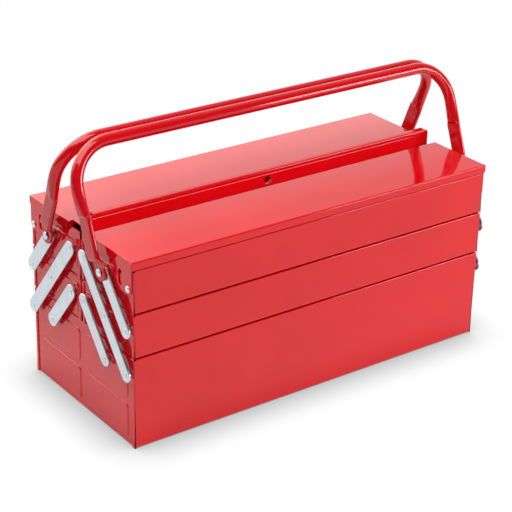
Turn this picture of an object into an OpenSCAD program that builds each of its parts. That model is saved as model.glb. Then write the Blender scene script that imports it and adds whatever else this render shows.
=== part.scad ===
// Cantilever tool box: a sheet-steel base, two middle trays and two top trays
// carried by flat zinc-plated links, two hinged lids that meet at a raised hasp
// ridge, and two tubular carrying handles that swing on the top trays.
// Millimetres, +Z up. X runs along the box, the front is at -Y, the base stands on Z = 0.

/* [Body] */
// Length of the folded bodies, end to end
body_length = 450; // [300:1:700]
// Depth of the base, front to back
body_depth = 196; // [150:1:300]
// Height of the base
base_height = 100; // [70:1:180]
// Pitch of one tray in height (also the rise of one link segment)
tray_pitch = 48; // [36:1:80]
// Sheet thickness
sheet_t = 1; // [0.6:0.1:1.4]
// Width of the front and back sheets' returns round the ends
return_w = 4.4; // [3:0.1:8]
// Height of the folded rim hems
hem_h = 6; // [3:0.5:10]
// Free height between a tray and the rim below it
stack_gap = 0.8; // [0.2:0.05:0.9]
// Drop of the top trays' inner walls below their outer rims
inner_drop = 5; // [5:0.5:10]

/* [Stamped ends] */
// Rise of the top trays' end panels above their rims, beside the middle plane
crest_h = 3; // [1:0.5:4]
// Height of the lower fields above the floor
field_foot = 7; // [5:0.5:12]
// Distance of the upper fields from the base's rim
field_head = 11; // [8:0.5:16]
// Width of the groove between lower and upper fields
groove_h = 6.5; // [4:0.5:12]
// Width of the groove between front and back fields
groove_w = 10.4; // [6:0.2:16]
// Distance of the fields from the outer walls
field_side = 12.5; // [8:0.5:18]
// Distance of a tray's field from its floor
tray_field_foot = 6; // [4:0.5:8]
// Distance of a tray's field from its rim
tray_field_head = 9.5; // [8:0.5:12]
// Width and height of the slant at a tray field's outer lower corner
field_slant = 11.5; // [6:0.5:14]
// Corner radius of the base's fields
field_r = 5; // [3:0.5:8]

/* [Linkage] */
// Distance of the inner pivot column from the middle plane
pivot_inner = 12.5; // [11:0.1:20]
// Distance of the outer pivot column from the outer wall
pivot_edge = 7.5; // [7:0.1:12]
// Height of a tray's pivots above that tray's floor
pivot_rise = 30; // [20:1:34]
// Width of the flat links
link_w = 15.5; // [12:0.5:20]
// Thickness of the flat links
link_t = 2; // [1.5:0.1:3]
// Radius of the holes in the links
link_hole_r = 3; // [2:0.1:3.4]
// Stand-off of the links from the body's ends
link_standoff = 4; // [3:0.1:6]
// Radius of the rivets' low heads on the links
head_r = 3.9; // [3.6:0.1:5]
// Height of those heads
head_h = 1.2; // [0.8:0.1:2]
// Radius of the spacing collars
collar_r = 5.5; // [4:0.1:6.5]

/* [Lids] */
// Rise of the lids' tops above the trays' rims
lid_rise = 9; // [6:0.5:14]
// Free height between a lid's lip and the rim below it
lip_gap = 0.5; // [0.5:0.1:2]
// Height of the lids' hinge line above the top trays' floor
hinge_rise = 26; // [20:1:32]
// Radius of the hinge holes
lid_hole_r = 2.5; // [2:0.1:3]
// Radius of the hinge rivets' heads
lid_head_r = 3.7; // [3.4:0.1:4.5]
// Drop of the end flanges beside the hinge, below the hinge line
ear_drop = 6; // [6:0.5:8]
// Depth of the end flanges between the hinge and the middle plane
flange_h = 9; // [6:0.5:12]
// Width of the slot in the end flanges
slot_w = 6.6; // [4:0.2:8]
// Height of that slot
slot_h = 17; // [10:0.5:20]
// Height of the front lid's hasp plate above its top
hasp_h = 13.5; // [13:0.5:16]
// Length by which the hasp plate stops short of the body's right end
hasp_inset = 29.6; // [20:0.2:60]
// Height of the back lid's channel above its top
channel_h = 17.5; // [17:0.5:28]
// Width of the channel
channel_w = 9; // [6:0.5:12]
// Length by which the channel stops short of the body's right end
channel_inset = 10; // [8:0.5:20]
// Length by which both stop short of the body's left end
ridge_inset = 4; // [4:0.5:20]
// Distance of the front lid's inner edge from the middle plane
hasp_y = 16; // [15:0.5:17]
// Distance of the back lid's inner edge from the middle plane, beside the channel
back_edge_y = 20; // [18:0.5:24]
// Width of the small tongues at the back lid's inner edge
tab_w = 6.4; // [4:0.2:8]
// Length of those tongues
tab_h = 7.7; // [5:0.1:9]
// Radius of the padlock hole
padlock_r = 4.6; // [3:0.1:5]
// Height of the padlock hole above the lids
padlock_z = 7.6; // [7:0.1:8]
// Distance of the padlock hole from the middle of the box
padlock_x = 8; // [0:0.5:60]

/* [Handles] */
// Diameter of the handle tube
tube_d = 12.7; // [11:0.1:16]
// Wall of the handle tube
tube_t = 1.2; // [0.8:0.1:2]
// Bend radius of the tube's middle line
bend_r = 42; // [25:1:50]
// Distance of the tube's legs from the body's ends
leg_out = 13.6; // [13.4:0.1:16]
// Height of the grips' middle line above the lids
grip_rise = 88.5; // [70:0.5:140]
// Free width between the two grips
grip_gap = 0.5; // [0.3:0.1:4]
// Width of the flattened legs
flat_w = 18.5; // [15:0.5:22]
// Thickness of the flattened legs
flat_t = 5.5; // [4:0.5:7]
// Thickness of the riveted tongues
tongue_t = 3; // [2.4:0.1:3.6]
// Length of the flattened legs between their crimps
flat_len = 40; // [25:0.5:44]
// Length of each crimp
crimp_len = 4.5; // [3:0.5:8]
// Height of a tongue's straight sides above its rivet
tongue_h = 10; // [9:0.5:14]
// Radius of the handle rivets' heads
handle_head_r = 4.2; // [3.8:0.1:5.5]
// Height of the handle and hinge rivets' heads
dome_h = 2; // [1:0.1:3]

/* [Hidden] */
$fn = 96;
run = 0.05;                       // radial clearance of a turning fit
slack = 0.2;                      // radial clearance of the linkage's two loose pivots
face = 0.1;                       // free width beside a turning plate
hl = body_length / 2;             // half length
hd = body_depth / 2;              // half depth
t = sheet_t;
mid_z = base_height + stack_gap;  // underside of the middle trays
mid_top = base_height + tray_pitch;
top_z = mid_top + stack_gap;      // underside of the top trays
top_rim = mid_top + tray_pitch - t;
lid_top = top_rim + lid_rise;
lip_h = lid_rise - lip_gap;       // height of the lids' lips
hinge_z = mid_top + hinge_rise;
c1 = pivot_inner;                 // pivot columns, measured from the middle plane
c3 = hd - pivot_edge;
c2 = (c1 + c3) / 2;
r0 = base_height - tray_pitch + pivot_rise;   // pivot rows
r1 = base_height + pivot_rise;
r2 = mid_top + pivot_rise;
px = hl - t;                      // outer face of the end panels' margins
link_x = hl + link_standoff;      // inner face of the links
tongue_x = link_x + link_t + 4 * face; // inner face of the handle tongues
flange_x = hl + t / 2;            // inner face of the lid flanges
flange_y = hd - t - 0.7;          // outer edge of the lid flanges, clear of the lip
lx = flange_x + t;                // half length of the lids
leg_x = hl + leg_out;             // middle line of the tube's legs
grip_z = lid_top + grip_rise;     // middle line of a grip
grip_y = (tube_d + grip_gap) / 2;
inner_y = t;                      // outer face of the trays' inner walls
tray_hem_gap = 2 * inner_drop;    // start of the top trays' end hems, outside their inner walls
side_in = 0.02;                   // straight sides start this far inside round ends
e = 0.01;

red = [0.78, 0.03, 0.05];
zinc = [0.80, 0.84, 0.87];

// Shapes below are drawn for the back (+Y) and the right end (+X), then mirrored.
module front() { mirror([0, 1, 0]) children(); }
module left() { mirror([1, 0, 0]) children(); }

// Box from two corners
module box(a, b) { translate(a) cube([b[0] - a[0], b[1] - a[1], b[2] - a[2]]); }

// Plate across X between x1 and x2, with rounded corners, from (y1, z1) to (y2, z2)
module pad(x1, x2, y1, z1, y2, z2, r) {
  box([x1, y1 + r, z1], [x2, y2 - r, z2]);
  box([x1, y1, z1 + r], [x2, y2, z2 - r]);
  for (y = [y1 + r, y2 - r]) for (z = [z1 + r, z2 - r])
    translate([x1, y, z]) rotate([0, 90, 0]) cylinder(r = r, h = x2 - x1, $fn = 32);
}

module xcyl(x1, x2, y, z, r) {
  translate([x1, y, z]) rotate([0, 90, 0]) cylinder(r = r, h = x2 - x1);
}

// ---- folded shells ----

// Long wall at the outer side: sheet, hem inside its rim, returns round both ends
module outer_wall(z1, z2) {
  box([-hl, hd - t, z1], [hl, hd, z2]);
  box([-px + 1.5 * t, hd - 2 * t, z2 - hem_h], [px - 1.5 * t, hd - t + e, z2]);
  both_ends() box([px, hd - return_w, z1], [hl, hd - t + e, z2]);
}

module base_shell_shape() {
  box([-px, -hd + t - e, 0], [px, hd - t + e, t]);
  outer_wall(0, base_height);
  front() outer_wall(0, base_height);
}

// Tray: outer wall, floor and a lower inner wall, all one folded sheet
module tray_shape(z1, z2, inner_top) {
  box([-px, inner_y, z1], [px, hd - t + e, z1 + t]);
  outer_wall(z1, z2);
  box([-hl, inner_y, z1], [hl, inner_y + t, inner_top]);
  box([-px + 1.5 * t, inner_y + t - e, inner_top - hem_h], [px - 1.5 * t, inner_y + 2 * t, inner_top]);
  both_ends() box([px, inner_y + t - e, z1], [hl, inner_y + return_w, inner_top]);
}

// ---- end panels ----

// The four stamped fields of a base end; inset i
module base_fields(x1, x2, i) {
  h = (base_height - field_foot - field_head - groove_h) / 2;
  for (s = [0, 1]) mirror([0, s, 0]) for (z = [field_foot, field_foot + h + groove_h])
    pad(x1, x2, groove_w / 2 + i, z + i, hd - field_side - i, z + h - i, field_r - i);
}
module base_end_shape() {
  difference() {
    union() {
      box([px - t, -hd + t, t], [px, hd - t, base_height]);
      box([px - 2.5 * t, -hd + 2.5 * t, base_height - hem_h], [px - t + e, hd - 2.5 * t, base_height]);
      base_fields(px - e, hl, 0);
    }
    base_fields(px - 2 * t, px, t);
    for (s = [0, 1]) mirror([0, s, 0]) for (y = [c2, c3]) xcyl(px - 4 * t, hl + t, y, r0, link_hole_r);
  }
}

// End panel of a tray; beside the middle plane the top trays' panels rise to a crest,
// and their hem stops short of it
module tray_end_shape(z1, z2, crest, holes) {
  hem_y = inner_y + (crest > 0 ? tray_hem_gap : 2.5 * t);
  difference() {
    union() {
      box([px - t, inner_y + t, z1 + t], [px, hd - t, z2]);
      box([px - 2.5 * t, hem_y, z2 - hem_h], [px - t + e, hd - 2.5 * t, z2]);
      tray_field(px - e, hl, z1, z2, 0);
      if (crest > 0)
        translate([px - t, 0, 0]) rotate([90, 0, 90]) linear_extrude(t)
          polygon([
            [inner_y + t, z2 - e], [back_edge_y, z2 - e],
            [back_edge_y - crest * 0.8, z2 + crest], [inner_y + t, z2 + crest]
          ]);
    }
    tray_field(px - 2 * t, px, z1, z2, t);
    for (h = holes) xcyl(px - 4 * t, hl + t, h[0], h[1], h[2]);
  }
}

// Stamped field with a slanted outer lower corner; inset i
module tray_field(x1, x2, z1, z2, i) {
  y1 = inner_y + return_w + t + i;
  y2 = hd - field_side - i;
  low = z1 + tray_field_foot + i;
  high = z2 - tray_field_head - i;
  translate([x1, 0, 0]) rotate([90, 0, 90]) linear_extrude(x2 - x1)
    polygon([
      [y1, low], [y2 - field_slant + i * 0.6, low],
      [y2, low + field_slant - i * 0.6], [y2, high], [y1, high]
    ]);
}

// ---- links ----

module link(p, q, mids) {
  dy = q[0] - p[0]; dz = q[1] - p[1];
  n = sqrt(dy * dy + dz * dz);
  difference() {
    union() {
      translate([link_x, p[0], p[1]]) rotate([atan2(dz, dy), 0, 0])
        translate([0, 0, -link_w / 2 + side_in]) cube([link_t, n, link_w - 2 * side_in]);
      xcyl(link_x, link_x + link_t, p[0], p[1], link_w / 2);
      xcyl(link_x, link_x + link_t, q[0], q[1], link_w / 2);
    }
    for (m = concat([p, q], mids)) xcyl(link_x - t, link_x + link_t + t, m[0], m[1], link_hole_r);
  }
}
module long_arm() { link([c3, r0], [c1, r2], [[c2, r1]]); }
module short_arm() { link([c2, r0], [c1, r1], []); }
module upper_link() { link([c3, r1], [c2, r2], []); }

// ---- rivets: inner head, waist through the panel, collar, bearing, low domed head ----

module dome(x, y, z, r, h) {
  translate([x, y, z]) rotate([0, 90, 0]) rotate_extrude()
    polygon([[0, 0], [r, 0], [r, h * 0.45], [r * 0.82, h * 0.8], [r * 0.45, h], [0, h]]);
}
// from inside the panel out to the collar's face, which stands just clear of the link
module rivet_root(x, y, z) {
  xcyl(x - t, x, y, z, 1.5 * link_hole_r);
  xcyl(x - e, hl + e, y, z, link_hole_r - face);
  xcyl(hl, link_x - face, y, z, collar_r);
}
module rivet(y, z, on_field, play) {
  rivet_root(on_field ? hl - t : px - t, y, z);
  xcyl(link_x - 2 * face, link_x + link_t + face + e, y, z, link_hole_r - play);
  dome(link_x + link_t + face, y, z, head_r, head_h);
}
module handle_rivet(y, z) {
  rivet_root(hl - t, y, z);
  xcyl(link_x - 2 * face, tongue_x - 2 * face, y, z, link_hole_r - slack);
  xcyl(tongue_x - 3 * face, tongue_x + tongue_t + face + e, y, z, link_hole_r - run);
  dome(tongue_x + tongue_t + face, y, z, handle_head_r, dome_h);
}
module lid_rivet(y, z) {
  x = px - t;
  xcyl(x - t, x, y, z, lid_hole_r * 1.6);
  xcyl(x - e, hl + e, y, z, lid_hole_r - face);
  xcyl(hl, flange_x - face, y, z, lid_hole_r * 1.6);
  xcyl(flange_x - 2 * face, lx + face + e, y, z, lid_hole_r - run);
  dome(lx + face, y, z, lid_head_r, dome_h * 0.85);
}
module both_ends() { children(); left() children(); }

module middle_rivets_shape() {
  both_ends() {
    rivet(c1, r1, true, slack);
    rivet(c2, r1, true, run);
    rivet(c3, r1, false, run);
  }
}
module top_rivets_shape() {
  both_ends() {
    rivet(c1, r2, true, run);
    handle_rivet(c2, r2);
    lid_rivet(c3, hinge_z);
  }
}

// ---- lids ----

module flange_shape() {
  ez = hinge_z - ear_drop;
  fz = lid_top - flange_h;
  y0 = back_edge_y + t;
  slope = 10 * (fz - ez) / 27;
  translate([flange_x, 0, 0]) rotate([90, 0, 90]) linear_extrude(t)
    polygon([
      [flange_y, lid_top - t + e], [flange_y, hinge_z], [c3, hinge_z], [c3, ez],
      [slot_y - t, ez], [slot_y - t - slope, fz],
      [y0 + flange_h / 2, fz], [y0, lid_top - t + e]
    ]);
  xcyl(flange_x, lx, c3, hinge_z, flange_y - c3);
}
slot_y = c3 - 11.2 - slot_w;      // inner side of the flange slot, clear of the hinge rivet
module flange() {
  difference() {
    flange_shape();
    xcyl(flange_x - t, lx + t, c3, hinge_z, lid_hole_r);
    pad(flange_x - t, lx + t, slot_y, hinge_z - t, slot_y + slot_w, hinge_z - t + slot_h, slot_w / 2 - 0.1);
  }
}
module lid_sheet(inner) {
  box([-lx, inner, lid_top - t], [lx, hd, lid_top]);
  box([-lx, hd - t, lid_top - lip_h], [lx, hd, lid_top - t + e]);
  both_ends() flange();
}
ridge_x = hl - ridge_inset;       // left end of the hasp plate and the channel
hasp_x = hl - hasp_inset;         // right end of the hasp plate
channel_x = hl - channel_inset;   // right end of the channel
module front_lid_shape() {
  lid_sheet(hasp_y);
}
// stands on the front lid's inner edge, hemmed along its top
module hasp_plate_shape() {
  z2 = lid_top + hasp_h;
  difference() {
    union() {
      box([-ridge_x, hasp_y, lid_top], [hasp_x, hasp_y + t, z2]);
      box([-ridge_x, hasp_y - 0.8 * t, z2 - 1.6 * t], [hasp_x, hasp_y + t, z2]);
    }
    padlock_hole(hasp_y - 3 * t, hasp_y + 5 * t);
  }
}
module padlock_hole(y1, y2) {
  translate([-padlock_x, y1, lid_top + padlock_z]) rotate([-90, 0, 0]) cylinder(r = padlock_r, h = y2 - y1);
}
cy1 = -hasp_y + 1.2 * t;          // front face of the channel
cy2 = cy1 + channel_w;
module back_lid_shape() {
  lid_sheet(back_edge_y);
  box([-ridge_x, cy2 - t, lid_top - t], [channel_x, back_edge_y + e, lid_top]);
  // small tongues bent down from the inner edge at both ends
  both_ends() {
    x = lx - t / 2 - tab_w / 2;
    z = lid_top - tab_h + tab_w / 2;
    box([x - tab_w / 2, back_edge_y, z], [x + tab_w / 2, back_edge_y + t, lid_top - t + e]);
    translate([x, back_edge_y, z]) rotate([-90, 0, 0]) cylinder(d = tab_w, h = t);
  }
}
// inverted channel standing on the back lid's inner edge, round-cornered at its ends
module channel_shape() {
  r = 4 * t;
  z2 = lid_top + channel_h;
  difference() {
    union() {
      box([-ridge_x, cy1, lid_top - t], [channel_x, cy1 + t, z2 - r]);
      box([-ridge_x, cy2 - t, lid_top], [channel_x, cy2, z2 - r]);
      for (y = [cy1, cy2 - t]) {
        box([-ridge_x + r, y, z2 - r - e], [channel_x - r, y + t, z2]);
        for (x = [-ridge_x + r, channel_x - r])
          translate([x, y, z2 - r]) rotate([-90, 0, 0]) cylinder(r = r, h = t);
      }
      box([-ridge_x + r, cy1 + t - e, z2 - t], [channel_x - r, cy2 - t + e, z2]);
    }
    padlock_hole(cy1 - 3 * t, cy2 + 3 * t);
  }
}

// ---- handles ----

lean = atan2(c2 - grip_y, grip_z - r2);                          // lean of the legs towards the middle
leg_l = sqrt(pow(c2 - grip_y, 2) + pow(grip_z - r2, 2));         // pivot to grip middle line
straight = leg_l - bend_r;
flat_x = tongue_x + flat_t / 2 + 3.05;                                            // middle of the flattened length
cr0 = tongue_h;                                                  // start of the lower crimp
cr1 = cr0 + crimp_len;                                           // end of the lower crimp
cr2 = cr1 + flat_len;                                            // start of the upper crimp
cr3 = cr2 + crimp_len;                                           // end of the upper crimp

// obround bar along +Z, width across Y
module obround(w, th, h) {
  translate([-th / 2 + side_in, -(w - th) / 2, 0]) cube([th - 2 * side_in, w - th, h]);
  for (s = [-1, 1]) translate([0, s * (w - th) / 2, 0]) cylinder(d = th, h = h, $fn = 24);
}
// one leg in the handle's own plane: X sideways, Z from the pivot towards the grip
module leg() {
  w = flat_w / 2 - 0.25;
  difference() {
    union() {
      xcyl(tongue_x, tongue_x + tongue_t, 0, 0, w);
      box([tongue_x, -w + side_in, 0], [tongue_x + tongue_t, w - side_in, cr0]);
    }
    xcyl(tongue_x - t, tongue_x + tongue_t + t, 0, 0, link_hole_r);
  }
  // each crimp runs a little way into its neighbours
  hull() {
    box([tongue_x + 0.15, -w + 0.15, cr0 - 0.5], [tongue_x + tongue_t - 0.15, w - 0.15, cr0]);
    translate([flat_x, 0, cr1]) obround(flat_w - 0.3, flat_t - 0.3, 0.5);
  }
  translate([flat_x, 0, cr1]) obround(flat_w, flat_t, cr2 - cr1);
  hull() {
    translate([flat_x, 0, cr2 - 0.5]) obround(flat_w - 0.3, flat_t - 0.3, 0.5);
    translate([leg_x, 0, cr3]) cylinder(d = tube_d - 0.3, h = 0.5, $fn = 48);
  }
}
module bend(d) {
  translate([leg_x - bend_r, 0, straight]) rotate([90, 0, 0]) rotate_extrude(angle = 90)
    translate([bend_r, 0]) circle(d = d);
}
// straight lengths run a little way into the bends
module runs(d, lap, z1) {
  both_ends() translate([leg_x, 0, z1]) cylinder(d = d, h = straight - z1 + lap);
  translate([-(leg_x - bend_r) - lap, 0, leg_l]) rotate([0, 90, 0]) cylinder(d = d, h = 2 * (leg_x - bend_r + lap));
}
module handle_tube() {
  difference() {
    union() {
      both_ends() bend(tube_d);
      runs(tube_d - 0.04, 0.5, cr3);
    }
    both_ends() bend(tube_d - 2 * tube_t);
    runs(tube_d - 2 * tube_t - 0.04, 0.5, cr3 + 1);
  }
}
module handle_shape() {
  translate([0, c2, r2]) rotate([lean, 0, 0]) {
    handle_tube();
    both_ends() leg();
  }
}

// ---- nodes ----

module base_shell() { color(red) base_shell_shape(); }
module base_left_end() { color(red) left() base_end_shape(); }
module base_right_end() { color(red) base_end_shape(); }
module base_pivot_rivets() {
  color(zinc) both_ends() for (s = [0, 1]) mirror([0, s, 0]) {
    rivet(c2, r0, true, run);
    rivet(c3, r0, false, run);
  }
}

mid_holes = [[c1, r1, link_hole_r], [c2, r1, link_hole_r], [c3, r1, link_hole_r]];
top_holes = [[c1, r2, link_hole_r], [c2, r2, link_hole_r], [c3, hinge_z, lid_hole_r]];

module back_left_long_arm() { color(zinc) left() long_arm(); }
module back_right_long_arm() { color(zinc) long_arm(); }
module back_left_short_arm() { color(zinc) left() short_arm(); }
module back_right_short_arm() { color(zinc) short_arm(); }
module back_left_upper_link() { color(zinc) left() upper_link(); }
module back_right_upper_link() { color(zinc) upper_link(); }
module back_middle_tray() { color(red) tray_shape(mid_z, mid_top, mid_top); }
module back_middle_left_end() { color(red) left() tray_end_shape(mid_z, mid_top, 0, mid_holes); }
module back_middle_right_end() { color(red) tray_end_shape(mid_z, mid_top, 0, mid_holes); }
module back_middle_rivets() { color(zinc) middle_rivets_shape(); }
module back_top_tray() { color(red) tray_shape(top_z, top_rim, top_rim - inner_drop); }
module back_top_left_end() { color(red) left() tray_end_shape(top_z, top_rim, crest_h, top_holes); }
module back_top_right_end() { color(red) tray_end_shape(top_z, top_rim, crest_h, top_holes); }
module back_top_rivets() { color(zinc) top_rivets_shape(); }
module back_lid() { color(red) back_lid_shape(); }
module back_lid_channel() { color(red) channel_shape(); }
module back_handle() { color(red) handle_shape(); }

module front_left_long_arm() { color(zinc) front() left() long_arm(); }
module front_right_long_arm() { color(zinc) front() long_arm(); }
module front_left_short_arm() { color(zinc) front() left() short_arm(); }
module front_right_short_arm() { color(zinc) front() short_arm(); }
module front_left_upper_link() { color(zinc) front() left() upper_link(); }
module front_right_upper_link() { color(zinc) front() upper_link(); }
module front_middle_tray() { color(red) front() tray_shape(mid_z, mid_top, mid_top); }
module front_middle_left_end() { color(red) front() left() tray_end_shape(mid_z, mid_top, 0, mid_holes); }
module front_middle_right_end() { color(red) front() tray_end_shape(mid_z, mid_top, 0, mid_holes); }
module front_middle_rivets() { color(zinc) front() middle_rivets_shape(); }
module front_top_tray() { color(red) front() tray_shape(top_z, top_rim, top_rim - inner_drop); }
module front_top_left_end() { color(red) front() left() tray_end_shape(top_z, top_rim, crest_h, top_holes); }
module front_top_right_end() { color(red) front() tray_end_shape(top_z, top_rim, crest_h, top_holes); }
module front_top_rivets() { color(zinc) front() top_rivets_shape(); }
module front_lid() { color(red) front() front_lid_shape(); }
module front_lid_hasp_plate() { color(red) front() hasp_plate_shape(); }
module front_handle() { color(red) front() handle_shape(); }

base_shell();
base_left_end();
base_right_end();
base_pivot_rivets();
front_left_long_arm();
front_right_long_arm();
front_left_short_arm();
front_right_short_arm();
front_middle_tray();
front_middle_left_end();
front_middle_right_end();
front_middle_rivets();
front_top_tray();
front_top_left_end();
front_top_right_end();
front_top_rivets();
front_left_upper_link();
front_right_upper_link();
front_lid();
front_lid_hasp_plate();
front_handle();
back_left_long_arm();
back_right_long_arm();
back_left_short_arm();
back_right_short_arm();
back_middle_tray();
back_middle_left_end();
back_middle_right_end();
back_middle_rivets();
back_top_tray();
back_top_left_end();
back_top_right_end();
back_top_rivets();
back_left_upper_link();
back_right_upper_link();
back_lid();
back_lid_channel();
back_handle();
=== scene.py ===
"""A closed red sheet-steel cantilever tool box, dressed round its CAD frame.

Lengths in the builders below are millimetres; each mesh is written in metres in the frame's axes.
Pieces are drawn for the back (+Y) and the right end (+X) and mirrored from there.
"""

import math

import bpy
from mathutils import Matrix, Vector
from mathutils.geometry import tessellate_polygon


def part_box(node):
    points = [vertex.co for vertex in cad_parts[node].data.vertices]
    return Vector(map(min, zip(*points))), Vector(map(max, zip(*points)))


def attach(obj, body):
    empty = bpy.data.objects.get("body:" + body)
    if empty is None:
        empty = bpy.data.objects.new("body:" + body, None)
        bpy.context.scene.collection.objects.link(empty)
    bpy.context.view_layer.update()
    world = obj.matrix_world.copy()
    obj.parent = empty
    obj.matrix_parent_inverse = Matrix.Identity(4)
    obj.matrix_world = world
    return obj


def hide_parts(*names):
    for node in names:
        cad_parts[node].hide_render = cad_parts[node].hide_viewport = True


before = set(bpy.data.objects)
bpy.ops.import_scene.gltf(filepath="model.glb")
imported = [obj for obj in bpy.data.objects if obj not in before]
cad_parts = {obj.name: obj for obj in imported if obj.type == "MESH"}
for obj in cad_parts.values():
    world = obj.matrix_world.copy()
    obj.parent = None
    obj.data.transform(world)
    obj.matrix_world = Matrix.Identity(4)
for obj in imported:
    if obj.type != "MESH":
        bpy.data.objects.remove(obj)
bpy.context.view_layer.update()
MM = 0.001

# ---- sizes, in millimetres, from the frame ----


def corners(node):
    """Low and high corner of a node's box."""
    low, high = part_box(node)
    return Vector(low) / MM, Vector(high) / MM


SHEET = 1.0  # thickness of the folded sheet
LINK_R = 7.75  # half width of a link
TUBE = 12.7  # diameter of the handles' tube

_, base_high = corners("base_shell")
HALF_LENGTH, HALF_DEPTH, BASE_H = base_high
tray_low, tray_high = corners("back_middle_tray")
MID_Z, MID_RIM, INNER = tray_low.z, tray_high.z, tray_low.y
tray_low, tray_high = corners("back_top_tray")
TOP_Z, TOP_RIM = tray_low.z, tray_high.z
_, panel_high = corners("back_top_right_end")
CREST_Z = panel_high.z  # top of the top trays' end panels, beside the middle plane
link_low, link_high = corners("back_right_upper_link")
arm_low, _ = corners("back_right_long_arm")
COLUMNS = (arm_low.y + LINK_R, link_low.y + LINK_R, link_high.y - LINK_R)  # of pivots, in Y
ROWS = (arm_low.z + LINK_R, link_low.z + LINK_R, link_high.z - LINK_R)  # of pivots, in Z
LINK_X, LINK_T = link_low.x, link_high.x - link_low.x
_, lid_high = corners("back_lid")
LID_X, LID_TOP = lid_high.x, lid_high.z
hasp_low, hasp_high = corners("front_lid_hasp_plate")
channel_low, channel_high = corners("back_lid_channel")
handle_low, handle_high = corners("back_handle")
LEG_X, GRIP_Z = handle_high.x - TUBE / 2, handle_high.z - TUBE / 2
GRIP_Y = handle_low.y + TUBE / 2

PANEL_X = HALF_LENGTH - SHEET  # outer face of the end panels
PANEL_IN = PANEL_X - SHEET  # inner face of the end panels
FOLD = 1.4  # outer radius of a fold
FOOT_FOLD = 2.2  # outer radius along the foot of a wall
FOOT = 0.2  # lift of the base's sheet, which its broken edges take up
HEM, HEM_WIDE = 6.0, 2 * SHEET  # height and width of the hems along the rims
TIGHT_FOLD = 0.98  # outer radius of the hems' folds and of the panels' turned-in feet
RIM_CUT = 1.4  # height of the relief cut beside each hemmed rim
RETURN = 4.4  # width of the walls' returns round the ends
INNER_DROP = 5.0  # drop of the top trays' inner walls
HASP_Y = 16.0  # inner edge of the front lid
BACK_EDGE = 20.0  # inner edge of the back lid, beside the channel
HINGE_Z = ROWS[2] - 4  # pivots of the lids
PADLOCK_X, PADLOCK_Z, PADLOCK_R = -8.0, LID_TOP + 7.6, 4.6

# ---- mesh builder ----

FOLD_SEGMENTS, EDGE_SEGMENTS = 4, 2
CUT_ANGLE = math.radians(40)  # edges that turn more than this are cut edges
ARC_STEPS = 5  # of a fillet, in a quarter turn
HALF_TURN = 12  # steps of a round end


class Shape:
    """Vertices that merge by place, faces, and the folds that get a round edge."""

    def __init__(self):
        self.points = []
        self.keys = {}
        self.faces = []
        self.folds = {}

    def at(self, p):
        """Number of the vertex at a place, made if it is new."""
        key = tuple(round(c, 4) for c in p)
        if key not in self.keys:
            self.keys[key] = len(self.points)
            self.points.append(tuple(float(c) for c in p))
        return self.keys[key]

    def face(self, *places):
        ids = [self.at(p) for p in places]
        if len(set(ids)) > 2:
            self.faces.append(ids)

    def fold(self, p, q, radius):
        self.folds[frozenset((self.at(p), self.at(q)))] = radius

    def skin(self, rings):
        """Quads between each ring and the next, all of as many points."""
        for a, b in zip(rings, rings[1:]):
            for i in range(len(a)):
                j = (i + 1) % len(a)
                self.face(a[i], a[j], b[j], b[i])

    def fill(self, outer, holes=(), flip=False):
        """A flat region with holes, as triangles that face as the outer ring turns."""
        loops = [[Vector(p) for p in ring] for ring in (outer, *holes)]
        flat = [p for loop in loops for p in loop]
        normal = Vector((0, 0, 0))
        for i, p in enumerate(loops[0]):
            normal += p.cross(loops[0][(i + 1) % len(loops[0])])
        for triangle in tessellate_polygon(loops):
            a, b, c = (flat[i] for i in triangle)
            if ((b - a).cross(c - a)).dot(normal) < 0:
                a, c = c, a
            if flip:
                a, c = c, a
            self.face(a, b, c)

    def join(self, other):
        """Takes another shape in, merging the points that they share."""
        for ids in other.faces:
            self.faces.append([self.at(other.points[i]) for i in ids])
        for pair, radius in other.folds.items():
            self.folds[frozenset(self.at(other.points[i]) for i in pair)] = radius

    def add(self, other, sx=1, sy=1):
        """Takes another shape in, mirrored where sx or sy is -1, with points of its own."""
        base = len(self.points)
        self.points += [(x * sx, y * sy, z) for x, y, z in other.points]
        for ids in other.faces:
            self.faces.append([base + i for i in ids[:: sx * sy]])
        for pair, radius in other.folds.items():
            self.folds[frozenset(base + i for i in pair)] = radius

    def mirrored(self, sx, sy):
        copy = Shape()
        copy.add(self, sx, sy)
        return copy


def round_folds(obj, shape):
    """Rounds the edges that the shape names as folds, each with its own radius."""
    weights = obj.data.attributes.new("bevel_weight_edge", "FLOAT", "EDGE")
    widest = max(shape.folds.values())
    for e in obj.data.edges:
        weights.data[e.index].value = shape.folds.get(frozenset(e.vertices), 0) / widest
    mod = obj.modifiers.new("folds", "BEVEL")
    mod.limit_method = "WEIGHT"
    mod.width = widest * MM
    mod.segments = FOLD_SEGMENTS
    mod.use_clamp_overlap = False


def thicken(obj, sheet):
    """Gives the outer faces the sheet's thickness, inwards."""
    mod = obj.modifiers.new("sheet", "SOLIDIFY")
    mod.thickness = sheet * MM
    mod.offset = -1.0
    mod.use_even_offset = True


def break_edges(obj, width):
    mod = obj.modifiers.new("edge", "BEVEL")
    mod.limit_method = "ANGLE"
    mod.angle_limit = CUT_ANGLE
    mod.width = width * MM
    mod.segments = EDGE_SEGMENTS
    mod.use_clamp_overlap = False


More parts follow.
